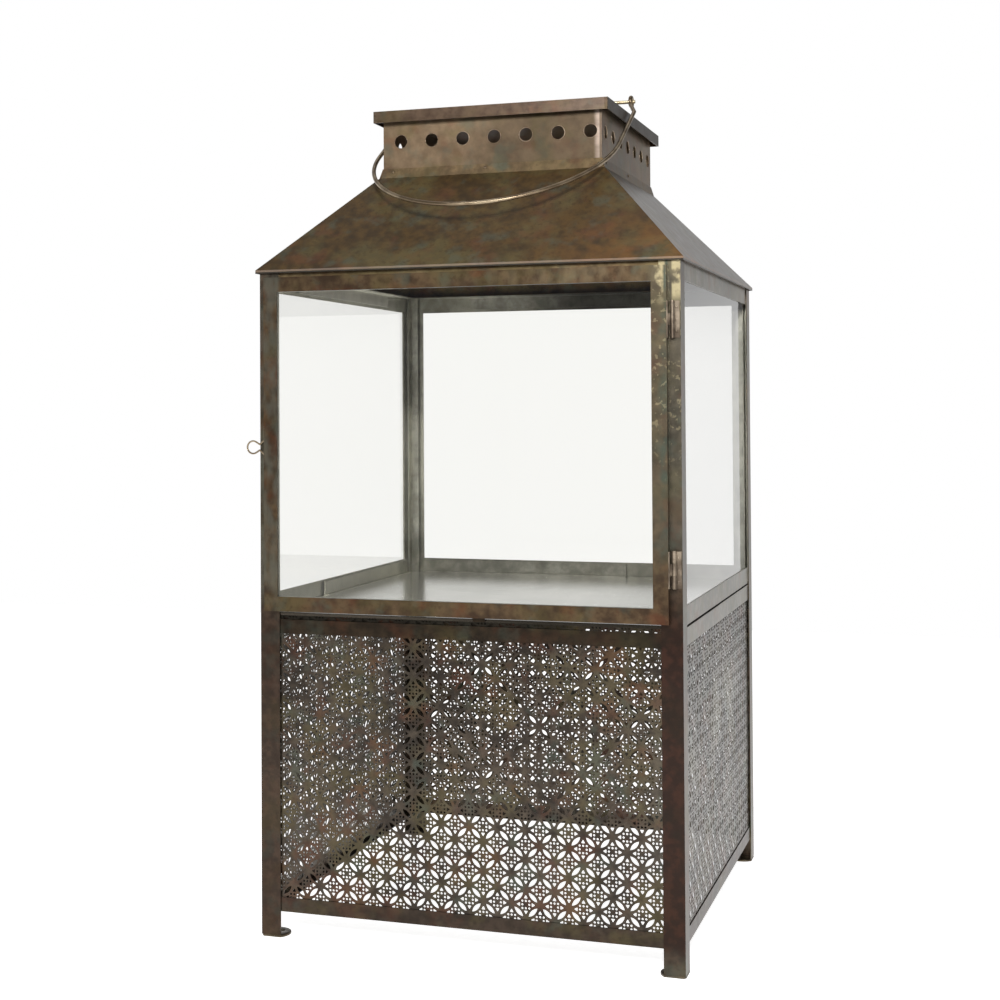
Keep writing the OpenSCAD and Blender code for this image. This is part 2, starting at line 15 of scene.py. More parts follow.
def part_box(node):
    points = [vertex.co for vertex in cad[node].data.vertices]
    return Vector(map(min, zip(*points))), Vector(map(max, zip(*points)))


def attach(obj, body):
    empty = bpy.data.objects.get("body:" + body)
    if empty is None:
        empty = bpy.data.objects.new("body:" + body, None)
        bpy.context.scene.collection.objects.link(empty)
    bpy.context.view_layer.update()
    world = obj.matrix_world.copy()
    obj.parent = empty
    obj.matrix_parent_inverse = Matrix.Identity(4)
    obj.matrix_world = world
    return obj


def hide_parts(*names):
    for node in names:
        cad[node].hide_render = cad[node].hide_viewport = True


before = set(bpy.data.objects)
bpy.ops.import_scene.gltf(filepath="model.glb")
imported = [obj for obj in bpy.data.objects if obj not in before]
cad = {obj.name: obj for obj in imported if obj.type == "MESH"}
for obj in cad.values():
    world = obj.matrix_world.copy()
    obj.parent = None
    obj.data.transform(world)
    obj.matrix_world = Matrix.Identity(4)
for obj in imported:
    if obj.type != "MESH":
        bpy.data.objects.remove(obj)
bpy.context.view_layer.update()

MM = 0.001

# %% [markdown]
# The camera comes first. Its place, turn and lens were fitted to the straight edges of the real
# lantern. The lens is a little off the middle of the picture, as when a photograph is cropped,
# and the camera's shift says by how much.

# %% Camera
CAMERA_AT = Vector((0.5813, -1.9899, 0.6144))
CAMERA_YAW, CAMERA_PITCH, CAMERA_ROLL = 0.3125, 0.0182, -0.0057
PICTURE_SIDE_PX = 1000
LENS_AXIS_PX = (478.0, 378.9)
FOCAL_PX = 1625.7
SENSOR_WIDTH_MM = 36.0


def turned(first, second, angle):
    """Two unit vectors at right angles, turned by an angle in their own plane."""
    return (
        first * math.cos(angle) + second * math.sin(angle),
        second * math.cos(angle) - first * math.sin(angle),
    )


level = Vector((-math.sin(CAMERA_YAW), math.cos(CAMERA_YAW), 0))
forward, camera_up = turned(level, Vector((0, 0, 1)), CAMERA_PITCH)
camera_right, camera_up = turned(forward.cross(camera_up), camera_up, CAMERA_ROLL)

camera_data = bpy.data.cameras.new("photo_camera")
camera_data.sensor_width = SENSOR_WIDTH_MM
camera_data.lens = FOCAL_PX / PICTURE_SIDE_PX * SENSOR_WIDTH_MM
camera_data.shift_x = (PICTURE_SIDE_PX / 2 - LENS_AXIS_PX[0]) / PICTURE_SIDE_PX
camera_data.shift_y = (LENS_AXIS_PX[1] - PICTURE_SIDE_PX / 2) / PICTURE_SIDE_PX
camera = bpy.data.objects.new("photo_camera", camera_data)
bpy.context.scene.collection.objects.link(camera)
turn = Matrix((camera_right, camera_up, -forward)).transposed()
camera.matrix_world = Matrix.Translation(CAMERA_AT) @ turn.to_4x4()
bpy.context.scene.camera = camera
print("lens", round(camera_data.lens, 2), "mm, shift", camera_data.shift_x, camera_data.shift_y)

# %% [markdown]
# The lantern stands on a pale floor in front of a white backdrop. Three soft lamps light it. The
# key lamp stands to the left of the camera, and a large one hangs above and fills the shadows. A
# small, strong one stands in front on the right: the smaller a lamp, the sharper its shadows.

# %% Floor and lamps
FLOOR_SIDE = 5.0
bpy.ops.object.select_all(action="DESELECT")
bpy.ops.mesh.primitive_plane_add(size=FLOOR_SIDE, location=(0, 0, 0))
floor = bpy.context.object
floor.name = "floor"

# the Standard view shows colours as they are, without a film's soft shoulder
bpy.context.scene.view_settings.view_transform = "Standard"
MIDDLE_OF_LANTERN = (0, 0, 0.65)


def area_lamp(name, place, aim, side, watts):
    """A square soft lamp that looks at a point."""
    lamp_data = bpy.data.lights.new(name, "AREA")
    lamp_data.size = side
    lamp_data.energy = watts
    lamp = bpy.data.objects.new(name, lamp_data)
    bpy.context.scene.collection.objects.link(lamp)
    lamp.location = place
    lamp.rotation_euler = (Vector(aim) - Vector(place)).to_track_quat("-Z", "Y").to_euler()
    print(name, "side:", side, "m, power:", watts, "W")


area_lamp("key_lamp", (-0.65, -2.8, 2.05), MIDDLE_OF_LANTERN, 0.6, 24)
area_lamp("front_lamp", (0.8, -2.65, 1.5), MIDDLE_OF_LANTERN, 0.3, 50)
area_lamp("top_lamp", (0, 0.3, 3.4), (0, 0, 0.5), 2.5, 16)

# %% [markdown]
# A material is a chain of nodes. Written out, such a chain is long and hard to read, so this
# small class wraps a node's output and lets Python's own signs build the Math nodes: a sum of
# two values adds an Add node, and 1 - mask works as it does on paper.

# %% A value in a material
class Value:
    """An output socket of a node, which can be used in sums."""

    def __init__(self, finish, socket):
        self.finish = finish
        self.socket = socket

    def math(self, operation, *others):
        """A Math node that takes this value first and then the others."""
        node = self.finish.add("ShaderNodeMath", {"operation": operation}, (self, *others))
        return Value(self.finish, node.outputs[0])

    def __add__(self, other):
        return self.math("ADD", other)

    def __sub__(self, other):
        return self.math("SUBTRACT", other)

    def __mul__(self, other):
        return self.math("MULTIPLY", other)

    def __truediv__(self, other):
        return self.math("DIVIDE", other)

    def __rsub__(self, other):
        node = self.finish.add("ShaderNodeMath", {"operation": "SUBTRACT"}, (other, self))
        return Value(self.finish, node.outputs[0])

    __radd__ = __add__
    __rmul__ = __mul__

    def larger(self, other):
        """The larger of two values."""
        return self.math("MAXIMUM", other)

    def size(self):
        """The value without its sign."""
        return self.math("ABSOLUTE")

    def band(self, low, high):
        """0 below low, 1 above high, and a smooth rise between."""
        settings = {"interpolation_type": "SMOOTHSTEP"}
        inputs = {"Value": self, "From Min": low, "From Max": high}
        node = self.finish.add("ShaderNodeMapRange", settings, inputs)
        return Value(self.finish, node.outputs["Result"])


# %% [markdown]
# The finish class holds one material. All its nodes come from add(), which takes the node's
# type, its settings and what goes into its sockets. Every pattern is read from the Object
# coordinates. All objects share one origin, so a stain runs on from one piece to the next. Two
# helpers come with it: one turns a screen colour into light values, and one dresses the pieces.

# %% A finish
# a Mix node keeps a set of sockets for each kind of data, and these are the ones for colours
MIX_SHARE, MIX_FIRST, MIX_SECOND, MIX_RESULT = 0, 6, 7, 2


class Finish:
    """A material, or the world's light, that is built up from patterns in space."""

    def __init__(self, name, world=False):
        self.material = (bpy.data.worlds if world else bpy.data.materials).new(name)
        self.material.use_nodes = True
        self.tree = self.material.node_tree
        self.tree.nodes.clear()
        self.output = self.add("ShaderNodeOutputWorld" if world else "ShaderNodeOutputMaterial")
        self.place = self.add("ShaderNodeTexCoord").outputs["Object"]

    def add(self, kind, settings=None, inputs=()):
        """A node of one kind, with its settings and the values or links of its sockets."""
        node = self.tree.nodes.new(kind)
        for setting, value in (settings or {}).items():
            setattr(node, setting, value)
        named = inputs.items() if isinstance(inputs, dict) else enumerate(inputs)
        for socket, value in named:
            if isinstance(value, Value):
                value = value.socket
            if isinstance(value, bpy.types.NodeSocket):
                self.tree.links.new(value, node.inputs[socket])
            else:
                node.inputs[socket].default_value = value
        return node

    def axis(self, index):
        """The X, Y or Z coordinate, in metres."""
        node = self.add("ShaderNodeSeparateXYZ", None, (self.place,))
        return Value(self, node.outputs[index])

    def clouds(self, scale, detail, move=(0, 0, 0), stretch=(1, 1, 1)):
        """Soft irregular patches; the scale is how many there are to a metre. Each pattern is
        moved to a part of the noise of its own."""
        inputs = {"Vector": self.place, "Scale": stretch, "Location": move}
        place = self.add("ShaderNodeMapping", None, inputs).outputs["Vector"]
        inputs = {"Vector": place, "Scale": scale, "Detail": detail}
        return Value(self, self.add("ShaderNodeTexNoise", None, inputs).outputs[0])

    def mix(self, first, second, share):
        """The first colour with a share of the second over it."""
        settings = {"data_type": "RGBA", "clamp_factor": True}
        inputs = {MIX_SHARE: share, MIX_FIRST: first, MIX_SECOND: second}
        return self.add("ShaderNodeMix", settings, inputs).outputs[MIX_RESULT]

    def bump(self, height, distance, strength):
        """Small unevenness that only changes how the light falls."""
        inputs = {"Height": height, "Distance": distance, "Strength": strength}
        return self.add("ShaderNodeBump", None, inputs).outputs["Normal"]

    def surface(self, **inputs):
        """Ends the material with one shader; an underscore in a name stands for a space."""
        named = {name.replace("_", " "): value for name, value in inputs.items()}
        shader = self.add("ShaderNodeBsdfPrincipled", None, named)
        return self.finish_with(shader.outputs[0])

    def finish_with(self, shader):
        """Links the last shader to the output."""
        self.tree.links.new(shader, self.output.inputs["Surface"])
        return self.material


def linear(red, green, blue):
    """A colour as a screen shows it, 0 to 255, as the light values that a shader uses."""
    shares = [channel / 255 for channel in (red, green, blue)]
    return tuple(
        share / 12.92 if share <= 0.04045 else ((share + 0.055) / 1.055) ** 2.4
        for share in shares
    ) + (1.0,)


def dress(material, *names):
    """Gives CAD nodes or new pieces a material."""
    for name in names:
        piece = cad.get(name) or bpy.data.objects[name]
        piece.data.materials.clear()
        piece.data.materials.append(material)


print("middle grey as light values:", [round(value, 3) for value in linear(128, 128, 128)])

# %% [markdown]
# Metal shows what is around it, so the surroundings matter more than the lamps do. They are white
# behind and beside the lantern, which turns its right side grey, and darker behind the camera,
# which keeps the front brown. The camera itself sees them plain white, as the backdrop is. The
# floor glows a little, because a real one is lit by the whole room.

# %% The surroundings' and the floor's light
BEHIND_CAMERA_LIGHT, TOP_LIGHT, FAR_RIGHT_LIGHT = 0.26, 0.3, 0.42
studio = Finish("studio", world=True)
sky_x, sky_y, sky_z = (studio.axis(index) for index in range(3))
depth_light = sky_y.band(-0.75, 0.1) * (1 - BEHIND_CAMERA_LIGHT) + BEHIND_CAMERA_LIGHT
height_light = 1 - sky_z.band(0.12, 0.5) * (1 - TOP_LIGHT)
side_light = 1 - sky_x.band(-0.05, 0.12) * sky_z.band(0.02, 0.14) * (1 - FAR_RIGHT_LIGHT)
seen_by_camera = Value(studio, studio.add("ShaderNodeLightPath").outputs["Is Camera Ray"])
strength = (depth_light * height_light * side_light).larger(seen_by_camera)
white = {"Color": (1, 1, 1, 1), "Strength": strength}
bpy.context.scene.world = studio.finish_with(
    studio.add("ShaderNodeBackground", None, white).outputs[0]
)

FLOOR_GLOW = 0.85
floor_finish = Finish("pale_floor")
floor.data.materials.append(
    floor_finish.surface(
        Base_Color=(0.93, 0.93, 0.93, 1),
        Roughness=0.85,
        Emission_Color=(1, 1, 1, 1),
        Emission_Strength=FLOOR_GLOW,
    )
)
print("nodes in the surroundings' light:", len(studio.tree.nodes))

# %% [markdown]
# ## The patina
# The sheet iron is coloured with acids and heat, then rubbed and waxed. Broad clouds of light and
# dark brown come first, then smaller patches of olive, rust red and blue-green, and last bright
# spots where handling has worn the colour through. Each layer is a noise pattern of its own
# scale, cut to a band and mixed over the layers below.

# %% Colours of the patina
INNER_DARK, INNER_PALE = linear(144, 142, 130), linear(190, 188, 174)
RED_BROWN = linear(41, 26, 20)
OLIVE = linear(92, 84, 52)
RUST = linear(96, 54, 36)
BLUE_GREEN = linear(74, 86, 76)
TAN = linear(150, 138, 110)
WORN_GOLD = linear(200, 186, 146)
# the second colour is the pale brown of painted highlights on the cap, the vent box and the eave
AMBER, HIGHLIGHT_BROWN = linear(128, 84, 36), linear(214, 194, 180)
# pale iron, also the colour of the painted sheen on the right panel
PALE_IRON = linear(222, 220, 208)
STILE_GREY, SHADE = linear(100, 99, 88), linear(30, 27, 20)

# %% [markdown]
# ### Where hands touch it
# A worn place is made with a mask: 1 where it lies, 0 elsewhere and soft between. A band rises
# from 0 to 1 between two places on the lantern, given in metres, and a noise pattern breaks up
# the edge. Masks are multiplied, so a spot shows only where all of them are 1. The door's frame
# and the posts share one function, and the wear runs on from one to the other.

# %% Worn stiles
POST_FACE = -0.2495


def forward_of(finish, face, blend=0.0004):
    """1 in front of a depth and 0 behind it, with a short blend between."""
    return 1 - finish.axis(1).band(face, face + blend)


def worn_by_hands(finish, colour):
    """Grey-green on the left stile. On the right, along the hinges, tan and gold with teal
    between."""
    across, height = finish.axis(0), finish.axis(2)
    front = forward_of(finish, POST_FACE, 0.001)
    left = front * (1 - across.band(-0.226, -0.218)) * height.band(0.38, 0.42)
    near = front * across.band(0.208, 0.222) * height.band(0.4, 0.5)
    streaks = finish.clouds(42, 8, move=(1, 4, 2), stretch=(1.6, 1, 0.7)).band(0.34, 0.66)
    top = front * across.band(-0.05, 0.15) * height.band(0.7505, 0.7515)
    flecks = finish.clouds(190, 9, move=(2, 6, 3)).band(0.58, 0.64) * height.band(0.5, 0.62)
    on_stile = across.band(0.2215, 0.2235) * (1 - across.band(0.231, 0.2345))
    high = height.band(0.722, 0.742) * (on_stile + across.band(0.2395, 0.2415))
    patches = finish.clouds(70, 10, move=(6, 1, 8)).band(0.43, 0.6) * high
    teal_side = across.band(0.224, 0.232) * (1 - across.band(0.235, 0.237))
    teal = teal_side * finish.clouds(45, 9, move=(9, 2, 1)).band(0.4, 0.6) * (1 - high)
    colour = finish.mix(colour, STILE_GREY, left * streaks * 0.7 + near * 0.3)
    colour = finish.mix(colour, TAN, top * streaks * 0.22)
    colour = finish.mix(colour, TAN, near * streaks * 0.05)
    colour = finish.mix(colour, BLUE_GREEN, near * teal * 0.7)
    colour = finish.mix(colour, WORN_GOLD, near * flecks * 0.22)
    return finish.mix(colour, WORN_GOLD, near * patches * 0.65)


# %% [markdown]
# ### Painted highlights and shade
# The cap and the vent box get painted highlights towards their right front corner, and painted
# shade on the cap's right side and on the vent's front towards the right. Inside, painted shade
# darkens the sheet high up on the right, where little light comes in. The roof is warm in colour
# at its right front corner, and its folded edge has a painted highlight, with painted shade
# underneath. A panel is painted dark in the door's shadow behind the slit, and the right panel has
# a painted sheen.

# %% Painted highlight and shade on the cap and vent box
VENT_FACE, CAP_FACE = -0.1368, -0.1462


def painted_highlight_streak(finish, colour, face, start, end, share):
    """A painted highlight on a face that looks forward: paler more and more from start to end
    across it, and less again close to its corner."""
    # painted highlight, broken up by soft upright streaks
    streaks = finish.clouds(40, 5, move=(2, 2, 6), stretch=(1, 1, 3)).band(0.3, 0.7)
    across = finish.axis(0)
    rise = across.band(start, end) * (1 - across.band(end + 0.0005, end + 0.002) * 0.8)
    brightened = forward_of(finish, face) * rise * (streaks * 0.5 + 0.5)
    return finish.mix(colour, HIGHLIGHT_BROWN, brightened * share)


def cap_highlight_and_shade(finish, colour):
    """Painted highlight on the cap's front rim towards the right, painted shade on its right rim.
    """
    colour = painted_highlight_streak(finish, colour, CAP_FACE, start=-0.03, end=0.141, share=0.08)
    # painted shade on the cap's right side
    return finish.mix(colour, SHADE, finish.axis(0).band(0.1456, 0.1462) * 0.7)


def vent_shade_and_highlight(finish, colour):
    """Painted shade darkens the vent's front to the right, and a painted highlight ends it there
    in a bright upright streak.
    """
    # painted shade, darker towards the right of the vent's front
    dull = finish.axis(0).band(-0.06, 0.06) * forward_of(finish, VENT_FACE)
    colour = finish.mix(colour, SHADE, dull * 0.5)
    # painted highlight near the right corner, fading out towards the bottom
    pale = painted_highlight_streak(finish, colour, VENT_FACE, start=0.1262, end=0.1328, share=0.5)
    return finish.mix(colour, pale, finish.axis(2).band(0.88, 0.92))


# %% Painted shade, highlights and sheen
EAVE_UNDERSIDE, EAVE_EDGE, SLIT_LEVEL = 0.7756, 0.7778, 0.3685


def shaded_inside(finish, colour):
    """Painted shade high up inside on the right, where the light doesn't reach, and darker low at
    the rear; paler along the left side."""
    across, depth, height = (finish.axis(index) for index in range(3))
    left = (1 - across.band(-0.235, -0.22)) * (1 - depth.band(0.18, 0.2))
    colour = finish.mix(colour, PALE_IRON, left * 0.5)
    low_rear = depth.band(0.23, 0.24) * (1 - height.band(0.42, 0.44))
    colour = finish.mix(colour, SHADE, low_rear * 0.3)
    # painted shade under the roof, high up on the right
    high_right = across.band(-0.1, 0.02) * height.band(0.744, 0.75)
    return finish.mix(colour, SHADE, high_right * 0.85)


def shaded_right(finish, colour):
    """Darker towards the right end of a long strip."""
    return finish.mix(colour, SHADE, finish.axis(0).band(-0.05, 0.2) * 0.5)


def warm_corner_eave_shading(finish, colour):
    """Amber towards the roof's right front corner. Its folded edge has a painted highlight, and
    painted shade underneath."""
    across, depth, height = (finish.axis(index) for index in range(3))
    near = across.band(0.02, 0.27) * (1 - height.band(0.78, 0.86)) * (1 - depth.band(-0.2, -0.13))
    spots = finish.clouds(38, 10, move=(4, 4, 4)).band(0.4, 0.62)
    colour = finish.mix(colour, AMBER, near * spots * 0.5)
    # painted highlight along the eave's folded edge
    edge = 1 - height.band(EAVE_EDGE, EAVE_EDGE + 0.0006)
    colour = finish.mix(colour, HIGHLIGHT_BROWN, edge * 0.15)
    # painted shade under the eave's fold
    eave_shade = 1 - height.band(EAVE_UNDERSIDE, EAVE_UNDERSIDE + 0.0004)
    return finish.mix(colour, SHADE, eave_shade * 0.9)


def shaded_slit_and_sheen(finish, colour):
    """Painted shade darkens a panel where its top lies behind the slit under the door, in the
    door's shadow, and the right one has a broad painted sheen across its middle."""
    across, height = finish.axis(0), finish.axis(2)
    # painted shade where the door's shadow falls in the slit
    slit = forward_of(finish, -0.24, 0.01) * height.band(SLIT_LEVEL, SLIT_LEVEL + 0.001)
    colour = finish.mix(colour, SHADE, slit * (0.9 - across.band(0.11, 0.13) * 0.3))
    # painted sheen across the right panel's middle
    sheen = height.band(0.08, 0.16) * (1 - height.band(0.24, 0.34)) * across.band(0.2, 0.24)
    return finish.mix(colour, PALE_IRON, sheen * finish.clouds(9, 5).band(0.35, 0.65) * 0.16)


def waxed_sides(finish):
    """1 on the roof's right side, which still shines, less on the left side, and 0 on the
    matt front and back."""
    across, depth = finish.axis(0), finish.axis(1)
    share = across.band(-0.01, 0.01) * 0.8 + 0.2
    return (across.size() - depth.size()).band(-0.0005, 0.0005) * share


# %% [markdown]
# ### The layers together
# One function lays the colours over each other, because all the sheet was treated alike. What
# differs from part to part is how strongly each layer shows. The posts also turn darker and
# redder towards the floor, and inside the glazed chamber the sheet was left bare.

# %% The patina
SHELF_LEVEL = 0.3775


def reddened_low(finish, colour, share, mottle, rust_patches):
    """A post's front turns red-brown towards the floor, the right one more. The right one's
    last few centimetres are greener again."""
    across, height = finish.axis(0), finish.axis(2)
    to_right = across.band(-0.25, 0.2) * 0.35 + 0.65
    below = forward_of(finish, POST_FACE, 0.001) * to_right * (1 - height.band(0.36, 0.47))
    right_end = across.band(0, 0.01) * (1 - height.band(0.012, 0.036))
    reddish = finish.mix(RED_BROWN, RUST, mottle.band(0.44, 0.62) * 0.16)
    reddish = finish.mix(reddish, SHADE, rust_patches * 0.5)
    return finish.mix(colour, reddish, below * (share - right_end * 0.65))


def bare_inside(finish, colour, inside, mottle, broad):
    """Bare grey iron above the shelf, within a reach from the lantern's middle."""
    reach = finish.axis(0).size().larger(finish.axis(1).size())
    above_shelf = finish.axis(2).band(SHELF_LEVEL, SHELF_LEVEL + 0.001)
    bare = (1 - reach.band(inside - 0.0002, inside)) * above_shelf
    pale = finish.mix(INNER_DARK, INNER_PALE, (mottle * 0.3 + broad * 0.7).band(0.36, 0.62))
    # the painted shade inside and the paler left side are laid over the bare iron
    return finish.mix(colour, shaded_inside(finish, pale), bare)


def patina(
    name, dark, mid, olive=0.4, rust=0.35, blue=0.3, inside=None, low=0.0, wear_and_light=None,
    roughness=0.4, coat=0.12, metallic=0.85, speckle=0.5, mottled=0.6, waxed=None,
):
    """Patinated sheet. Olive, rust, blue and speckle are how strongly each layer shows, and
    mottled is the share of small patches against broad ones. Inside is the reach from the
    middle within which the sheet is bare, and low is how far the front reddens towards the
    floor. The wear function adds this piece's worn places and its painted highlights and
    shade. Waxed is a function that says where the piece shines like metal under a coat of wax."""
    finish = Finish(name)
    broad = finish.clouds(8, 10)
    mottle = finish.clouds(80, 10, move=(3, 1, 2))
    grain = finish.clouds(300, 3)
    shade = broad * (1 - mottled) + mottle * mottled
    colour = finish.mix(dark, mid, shade.band(0.36, 0.64))
    olive_patches = finish.clouds(22, 12, move=(7, 2, 5)).band(0.46, 0.64)
    rust_patches = finish.clouds(30, 12, move=(1, 9, 4)).band(0.5, 0.68)
    blue_patches = finish.clouds(38, 12, move=(5, 5, 9)).band(0.53, 0.7)
    colour = finish.mix(colour, OLIVE, olive_patches * olive)
    colour = finish.mix(colour, RUST, rust_patches * rust)
    colour = finish.mix(colour, BLUE_GREEN, blue_patches * blue)
    specks = finish.clouds(170, 8, move=(8, 8, 1)).band(0.5, 0.72)
    colour = finish.mix(colour, dark, specks * speckle)
    if low:
        colour = reddened_low(finish, colour, low, mottle, rust_patches)
    if wear_and_light:
        colour = wear_and_light(finish, colour)
    if inside:
        colour = bare_inside(finish, colour, inside, mottle, broad)
    if waxed:
        shine = waxed(finish)
        metallic, coat = metallic + shine * 0.6, coat + shine * 0.2
        roughness = roughness - shine * 0.14
    return finish.surface(
        Base_Color=colour,
        Metallic=metallic,
        Roughness=mottle * 0.2 + (roughness - 0.1),
        Specular_IOR_Level=0.3,
        Coat_Weight=coat,
        Coat_Roughness=0.18,
        Normal=finish.bump(grain * 0.6 + mottle * 0.4, 0.0005, 0.3),
    )


# %% [markdown]
# Each kind of part now gets its own patina: a dark and a middle brown, and the strength of the
# layers where it isn't the usual one.

# %% A patina for each kind of part
post_patina = patina(
    "post_patina", linear(60, 52, 43), linear(92, 82, 69), blue=0.45, inside=0.2490, low=0.95,
    wear_and_light=worn_by_hands,
)
rail_patina = patina("rail_patina", linear(97, 94, 87), linear(134, 129, 120), inside=0.2478)
# the head rail's front is a lighter tan: its own colour, lightened as painted light where the
# eave's shadow falls
lit_tan_patina = patina("lit_tan_patina", linear(92, 76, 54), linear(128, 110, 80), inside=0.2478)
door_patina = patina(
    "door_patina", linear(63, 49, 37), linear(95, 77, 56), rust=0.5, blue=0.4,
    wear_and_light=worn_by_hands,
)
base_patina = patina(
    "base_patina", linear(44, 36, 29), linear(64, 53, 44), olive=0.3, rust=0.2, blue=0.25
)
foot_patina = patina("foot_patina", linear(70, 62, 52), linear(98, 88, 74), olive=0.3, blue=0.2)
strip_patina = patina(
    "strip_patina", linear(34, 27, 19), linear(54, 43, 31), olive=0.3, rust=0.2, blue=0.2,
    wear_and_light=shaded_right,
)
# a near-black finish, painted shade for the door's shadow in the slit
slit_shade_patina = patina("slit_shade_patina", linear(18, 14, 9), linear(28, 23, 16), blue=0.1, coat=0.05)
panel_patina = patina(
    "panel_patina", linear(45, 39, 34), linear(78, 69, 59), olive=0.35, blue=0.4,
    roughness=0.36, wear_and_light=shaded_slit_and_sheen,
)
roof_patina = patina(
    "roof_patina", linear(53, 39, 19), linear(82, 62, 32), olive=0.5, blue=0.35,
    wear_and_light=warm_corner_eave_shading, roughness=0.5, coat=0.0, metallic=0.15, waxed=waxed_sides,
)
skirt_patina = patina(
    "skirt_patina", linear(80, 65, 45), linear(116, 96, 68), blue=0.5, metallic=0.5
)
cap_patina = patina(
    "cap_patina", linear(58, 45, 36), linear(88, 72, 58), olive=0.3, blue=0.25,
    wear_and_light=cap_highlight_and_shade,
)
vent_patina = patina(
    "vent_patina", linear(88, 73, 56), linear(125, 106, 84), olive=0.5, rust=0.3, blue=0.35,
    speckle=0.15, mottled=0.3, wear_and_light=vent_shade_and_highlight,
)
inner_patina = patina(
    "inner_patina", linear(144, 143, 132), linear(184, 182, 170), olive=0.1, rust=0.08,
    blue=0.08, wear_and_light=shaded_inside,
)
print("nodes in the posts' patina:", len(post_patina.node_tree.nodes))

# %% Sheet iron parts
SIDES = ("front", "right", "rear", "left")
CORNERS = ("front_left", "front_right", "rear_left", "rear_right")
dress(post_patina, *[f"post_{corner}" for corner in CORNERS])
dress(door_patina, "door_frame")
dress(lit_tan_patina, "head_rail_front")
for rail in ("head_rail", "sill_rail", "middle_rail"):
    dress(rail_patina, *[f"{rail}_{side}" for side in SIDES[1:]])
dress(strip_patina, "middle_rail_front", "door_tab")
dress(base_patina, *[f"bottom_rail_{side}" for side in SIDES])
dress(foot_patina, "foot_plates")
dress(roof_patina, "roof")
dress(cap_patina, "vent_cap")
dress(skirt_patina, "vent_skirt")
dress(vent_patina, *[f"vent_wall_{side}" for side in SIDES])
dress(inner_patina, "lower_glass_strips", "upper_glass_strips", "glass_corner_angles")
dress(inner_patina, "door_bead")
print("posts:", post_patina.users, "rails:", rail_patina.users, "vent walls:", vent_patina.users)

# %% [markdown]
# Folded and sheared sheet never has a perfectly sharp edge. A narrow Bevel modifier rounds the
# edges of the CAD pieces for the picture only, so that they catch a thin line of light. The same
# helper finishes the new pieces further down, where the modifier is applied.

# %% Rounded edges
def round_edges(piece, width, segments, angle=30):
    """Rounds the edges where two faces meet at more than an angle, in degrees."""
    bevel = piece.modifiers.new("rounded_edges", "BEVEL")
    bevel.width = width
    bevel.segments = segments
    bevel.limit_method = "ANGLE"
    bevel.angle_limit = math.radians(angle)


EDGE_WIDTHS = {"vent_cap": 0.8 * MM}
EDGE_WIDTHS.update({f"post_{corner}": 0.5 * MM for corner in CORNERS})
EDGE_WIDTHS.update({f"vent_wall_{side}": 0.3 * MM for side in SIDES})
for name, width in EDGE_WIDTHS.items():
    round_edges(cad[name], width, segments=2, angle=40)
print("CAD pieces with rounded edges:", len(EDGE_WIDTHS))

# %% [markdown]
# ## Bare metal
# The shelf is plain grey sheet with faint rolling marks and a soft shine. The marks are noise
# that is squeezed along one axis, so its patches become streaks. The sheet's folded front edge is
# coloured brown, with painted shade where the door's shadow falls on its right part and along its
# top, and a mask on the depth sets it apart.

# %% Shelf sheet
SHELF_FOLD = -0.2405


def rolled_sheet(name, colour, roughness):
    """Bare sheet, darker to the right, with the brown of its folded front edge, which has painted
    shade towards the right and along its top.
    """
    finish = Finish(name)
    marks = finish.clouds(14, 4, stretch=(1, 5, 1))
    patches = finish.clouds(6, 4, move=(4, 1, 7))
    shade = finish.mix(colour, linear(190, 190, 184), patches.band(0.4, 0.7) * 0.5)
    shade = finish.mix(shade, linear(168, 168, 164), finish.axis(0).band(0.06, 0.2) * 0.8)
    # painted shade: the door's shadow darkens the fold towards the right
    fold_side = finish.mix(linear(84, 77, 68), SHADE, finish.axis(0).band(-0.1, 0.1) * 0.7)
    # painted shade along the fold's top edge
    top_edge = finish.axis(2).band(SHELF_LEVEL - 0.0002, SHELF_LEVEL)
    fold_side = finish.mix(fold_side, SHADE, top_edge)
    return finish.surface(
        Base_Color=finish.mix(shade, fold_side, forward_of(finish, SHELF_FOLD, 0.0001)),
        Metallic=0.85,
        Roughness=patches * 0.08 + marks * 0.04 + (roughness - 0.06),
        Normal=finish.bump(marks, 0.0001, 0.05),
    )


shelf_metal = rolled_sheet("shelf_metal", linear(212, 211, 206), 0.2)
dress(shelf_metal, "shelf")
print("nodes in the shelf's finish:", len(shelf_metal.node_tree.nodes))

# %% [markdown]
# The bail and the hinges are darkened wire and strip whose highlights are worn bright, and the
# bail's pins are pale yellow rod. One function makes all three: only the two colours and the
# roughness are different.

# %% Wire, strip and rod
def wire_metal(name, dull, bright, roughness):
    """Drawn metal that is rubbed from a dull to a bright colour in patches."""
    finish = Finish(name)
    brightened = finish.clouds(40, 5)
    return finish.surface(
        Base_Color=finish.mix(dull, bright, brightened.band(0.38, 0.64)),
        Metallic=0.9,
        Roughness=brightened * 0.1 + (roughness - 0.05),
        Normal=finish.bump(finish.clouds(260, 4), 0.0001, 0.08),
    )


bail_metal = wire_metal("bail_metal", linear(118, 102, 82), linear(160, 144, 120), 0.34)
hinge_metal = wire_metal("hinge_metal", linear(96, 84, 72), linear(160, 146, 128), 0.42)
pin_metal = wire_metal("pin_metal", linear(214, 196, 156), linear(242, 230, 196), 0.3)
dress(bail_metal, "bail", "door_pull")
dress(hinge_metal, "hinge_post_leaves", "hinge_door_leaves", "hinge_pins")
dress(pin_metal, "bail_pins")
print("bare metals:", [metal.name for metal in (bail_metal, hinge_metal, pin_metal)])

# %% [markdown]
# ## Glass
# Window glass is clear when it is looked through and shines when it is looked along. A Fresnel
# node gives that share of reflection. The rest passes straight through, a little tinted, which
# keeps the light inside the lantern as bright as the real panes do.

